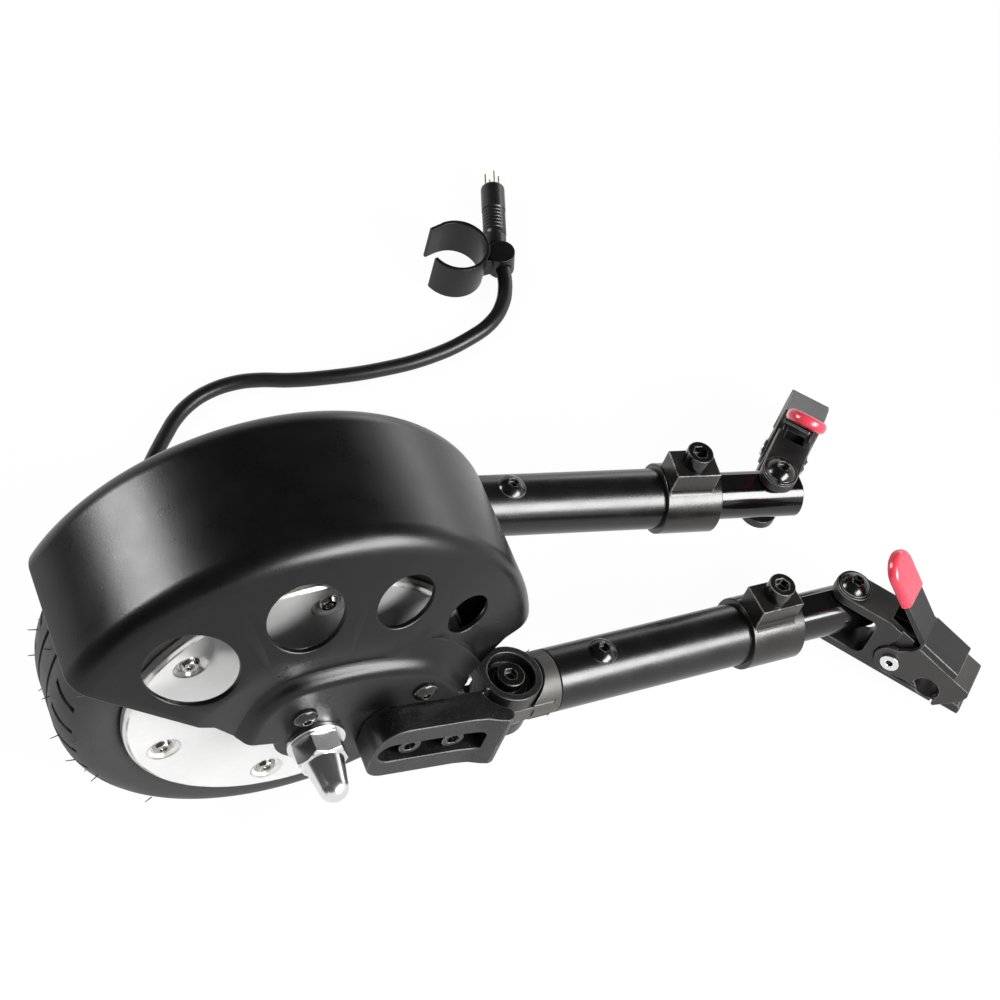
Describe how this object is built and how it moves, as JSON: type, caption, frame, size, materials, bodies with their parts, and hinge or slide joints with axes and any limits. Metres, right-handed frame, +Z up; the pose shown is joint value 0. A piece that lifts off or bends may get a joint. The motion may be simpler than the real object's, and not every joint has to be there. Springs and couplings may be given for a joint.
{
  "type": "wheelchair power assist",
  "caption": "Motor wheel under a vented fender, carried between toed-in telescopic arms that end in hooked docking clamps, with a motor cable, plug and clip.",
  "frame": {"origin": "the point where the tyre stands on the floor, straight under the axle", "axes": "+X forward along the arms, +Y along the axle towards the cable side, +Z up"},
  "size_m": [0.4119, 0.3716, 0.2075],
  "materials": {
    "tyre_rubber": "matt",
    "hub_metal": "brushed, clear",
    "core_steel": "machined",
    "copper": "varnished",
    "plate_black": "black anodised, fine grain",
    "bright_steel": "polished",
    "fender_black": "satin, fine grain",
    "black_steel": "black oxide, glossy",
    "cable_black": "satin",
    "pin_brass": "bright",
    "clip_black": "satin",
    "fitting_grey": "dark bronze grey, satin",
    "tube_black": "satin black anodised",
    "gloss_black": "glossy black anodised",
    "lever_black": "black, fine grain",
    "red_cap": "glossy"
  },
  "bodies": {
    "chassis": {"axle": "core_steel", "stator": "copper", "axle_spacers": "core_steel", "axle_plate_near": "plate_black", "axle_plate_far": "plate_black", "axle_washers": "bright_steel", "dome_nut": "bright_steel", "hex_nut": "bright_steel", "fender": "fender_black", "fender_screws": "black_steel", "bracket_screws": "black_steel", "cable_gland": "cable_black", "power_cable": "cable_black", "plug": "cable_black", "plug_pins": "pin_brass", "cable_clip": "clip_black"},
    "wheel": {"tyre": "tyre_rubber", "hub_shell": "hub_metal", "hub_cover_near": "hub_metal", "hub_cover_far": "hub_metal", "hub_screws": "bright_steel", "magnet_ring": "core_steel", "bearing_near": "core_steel", "bearing_far": "core_steel"},
    "near_bracket": {"bracket_near": "plate_black", "knuckle_bolt_near": "black_steel"},
    "near_arm": {"arm_fitting_near": "fitting_grey", "outer_tube_near": "tube_black", "tube_screw_near": "black_steel", "collar_near": "gloss_black", "collar_screw_near": "black_steel"},
    "near_inner": {"inner_tube_near": "gloss_black"},
    "near_clamp": {"clamp_base_near": "plate_black", "pivot_bolt_near": "black_steel", "rivet_near": "bright_steel"},
    "near_jaw": {"jaw_near": "fitting_grey", "lever_near": "lever_black", "lever_cap_near": "red_cap"},
    "far_bracket": {"bracket_far": "plate_black", "knuckle_bolt_far": "black_steel"},
    "far_arm": {"arm_fitting_far": "fitting_grey", "outer_tube_far": "tube_black", "tube_screw_far": "black_steel", "collar_far": "gloss_black", "collar_screw_far": "black_steel"},
    "far_inner": {"inner_tube_far": "gloss_black"},
    "far_clamp": {"clamp_base_far": "plate_black", "pivot_bolt_far": "black_steel", "rivet_far": "bright_steel"},
    "far_jaw": {"jaw_far": "fitting_grey", "lever_far": "lever_black", "lever_cap_far": "red_cap"}
  },
  "joints": [
    {"name": "wheel_spin", "type": "hinge", "parent": "chassis", "child": "wheel", "pos_m": [0, 0, 0.1], "axis": [0, 1, 0], "continuous": true},
    {"name": "near_bracket_slide", "type": "slide", "parent": "chassis", "child": "near_bracket", "axis": [0.9618, 0, -0.2737], "range_m": [-0.008, 0.008]},
    {"name": "near_arm_swing", "type": "hinge", "parent": "near_bracket", "child": "near_arm", "pos_m": [0.08554, -0.05, 0.07909], "axis": [0.2737, 0, 0.9618], "range_deg": [-22, 4]},
    {"name": "near_tube_slide", "type": "slide", "parent": "near_arm", "child": "near_inner", "axis": [0.958, 0.0889, -0.2726], "range_m": [-0.012, 0.0405]},
    {"name": "near_clamp_swivel", "type": "hinge", "parent": "near_inner", "child": "near_clamp", "pos_m": [0.25894, -0.03391, 0.02974], "axis": [0.2737, 0, 0.9618], "range_deg": [-45, 47]},
    {"name": "near_jaw_open", "type": "hinge", "parent": "near_clamp", "child": "near_jaw", "pos_m": [0.27836, -0.05688, 0.01974], "axis": [-0.7034, -0.682, 0.2002], "range_deg": [0, 27], "stiffness_Nm_per_rad": 0.4, "springref_deg": -20.05},
    {"name": "far_bracket_slide", "type": "slide", "parent": "chassis", "child": "far_bracket", "axis": [0.9618, 0, -0.2737], "range_m": [-0.0004, 0.016]},
    {"name": "far_arm_swing", "type": "hinge", "parent": "far_bracket", "child": "far_arm", "pos_m": [0.07785, 0.05, 0.08128], "axis": [0.2737, 0, 0.9618], "range_deg": [-4, 22]},
    {"name": "far_tube_slide", "type": "slide", "parent": "far_arm", "child": "far_inner", "axis": [0.958, -0.0889, -0.2726], "range_m": [-0.012, 0.0405]},
    {"name": "far_clamp_swivel", "type": "hinge", "parent": "far_inner", "child": "far_clamp", "pos_m": [0.25125, 0.03391, 0.03193], "axis": [0.2737, 0, 0.9618], "range_deg": [-47, 45]},
    {"name": "far_jaw_open", "type": "hinge", "parent": "far_clamp", "child": "far_jaw", "pos_m": [0.27067, 0.05688, 0.02193], "axis": [0.7034, -0.682, -0.2002], "range_deg": [0, 27], "stiffness_Nm_per_rad": 0.4, "springref_deg": -20.05}
  ]
}
